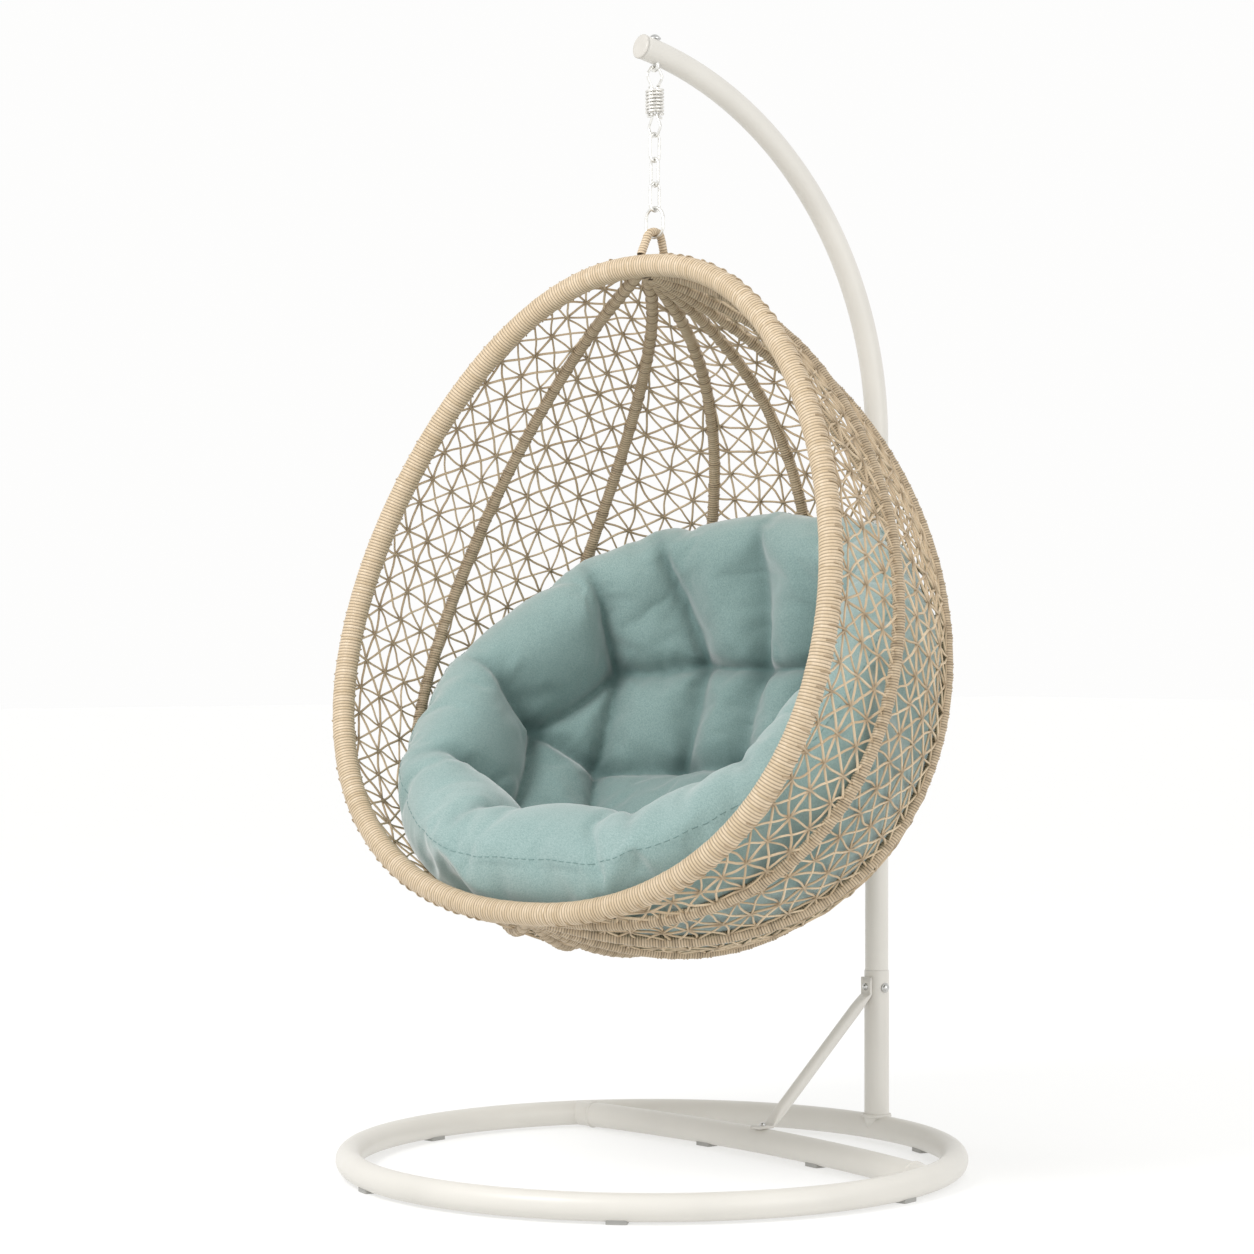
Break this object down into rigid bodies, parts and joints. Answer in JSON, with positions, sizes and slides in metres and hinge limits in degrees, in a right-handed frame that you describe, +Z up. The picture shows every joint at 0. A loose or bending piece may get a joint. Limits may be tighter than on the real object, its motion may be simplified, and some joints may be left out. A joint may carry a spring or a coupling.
{
  "type": "hanging egg chair",
  "caption": "Egg shaped woven basket with a tufted cushion, hung by a spring and chain from a curved steel arm on a round tubular base.",
  "frame": {"origin": "on the floor, at the centre of the base ring", "axes": "+Z up, -Y towards the front of the stand, +Y towards the post; the basket hangs turned 11 degrees about +Z"},
  "size_m": [1.1262, 1.085, 1.9561],
  "materials": {
    "powder_coat": "satin",
    "white_plastic": "matte",
    "grey_plastic": "matte",
    "bolt_steel": "satin",
    "zinc": "satin",
    "rattan": "satin",
    "cushion_cloth": "matte"
  },
  "bodies": {
    "stand": {"base_ring": "powder_coat", "cross_bar": "powder_coat", "glide_feet": "grey_plastic", "lower_post": "powder_coat", "arm_tube": "powder_coat", "arm_end_cap": "white_plastic", "post_bolts": "bolt_steel", "brace": "powder_coat", "brace_screws": "bolt_steel", "hook_bolt": "powder_coat", "hook_nut": "bolt_steel"},
    "spring_upper": {"upper_drawbar": "zinc", "spring_coil": "zinc"},
    "spring_lower": {"lower_drawbar": "zinc"},
    "link_1": {"chain_link_1": "zinc"},
    "link_2": {"chain_link_2": "zinc"},
    "link_3": {"chain_link_3": "zinc"},
    "ring": {"hanging_ring": "zinc"},
    "basket": {"rim_hoop": "rattan", "crown_plate": "rattan", "keel_plate": "rattan", "hanger_loop": "rattan", "cushion": "cushion_cloth", "rib_1": "rattan", "rib_2": "rattan", "rib_3": "rattan", "rib_4": "rattan", "rib_5": "rattan", "rib_6": "rattan", "rib_7": "rattan", "weave_panel_1": "rattan", "weave_panel_2": "rattan", "weave_panel_3": "rattan", "weave_panel_4": "rattan", "weave_panel_5": "rattan", "weave_panel_6": "rattan", "weave_panel_7": "rattan", "weave_panel_8": "rattan"}
  },
  "joints": [
    {"name": "swing_fore_aft", "type": "hinge", "parent": "stand", "child": "spring_upper", "pos_m": [0, 0.006, 1.894], "axis": [-1, 0, 0], "range_deg": [-1, 10]},
    {"name": "spring_travel", "type": "slide", "parent": "spring_upper", "child": "spring_lower", "axis": [0, 0, -1], "range_m": [0, 0.012], "stiffness_N_per_m": 60000, "springref_m": -0.0033, "deforming": ["spring_coil"]},
    {"name": "swing_side", "type": "hinge", "parent": "spring_lower", "child": "link_1", "pos_m": [0, 0.006, 1.7852], "axis": [0, 1, 0], "range_deg": [-6, 6]},
    {"name": "link_2_twist", "type": "hinge", "parent": "link_1", "child": "link_2", "pos_m": [0, 0.006, 1.7], "axis": [0, 0, 1], "range_deg": [-6, 2]},
    {"name": "link_3_twist", "type": "hinge", "parent": "link_2", "child": "link_3", "pos_m": [0, 0.006, 1.68], "axis": [0, 0, 1], "range_deg": [-6, 2]},
    {"name": "ring_twist", "type": "hinge", "parent": "link_3", "child": "ring", "pos_m": [0, 0.006, 1.63], "axis": [0, 0, 1], "range_deg": [-6, 2]},
    {"name": "basket_twist", "type": "hinge", "parent": "ring", "child": "basket", "pos_m": [0, 0.006, 1.6], "axis": [0, 0, 1], "range_deg": [-6, 2]}
  ]
}
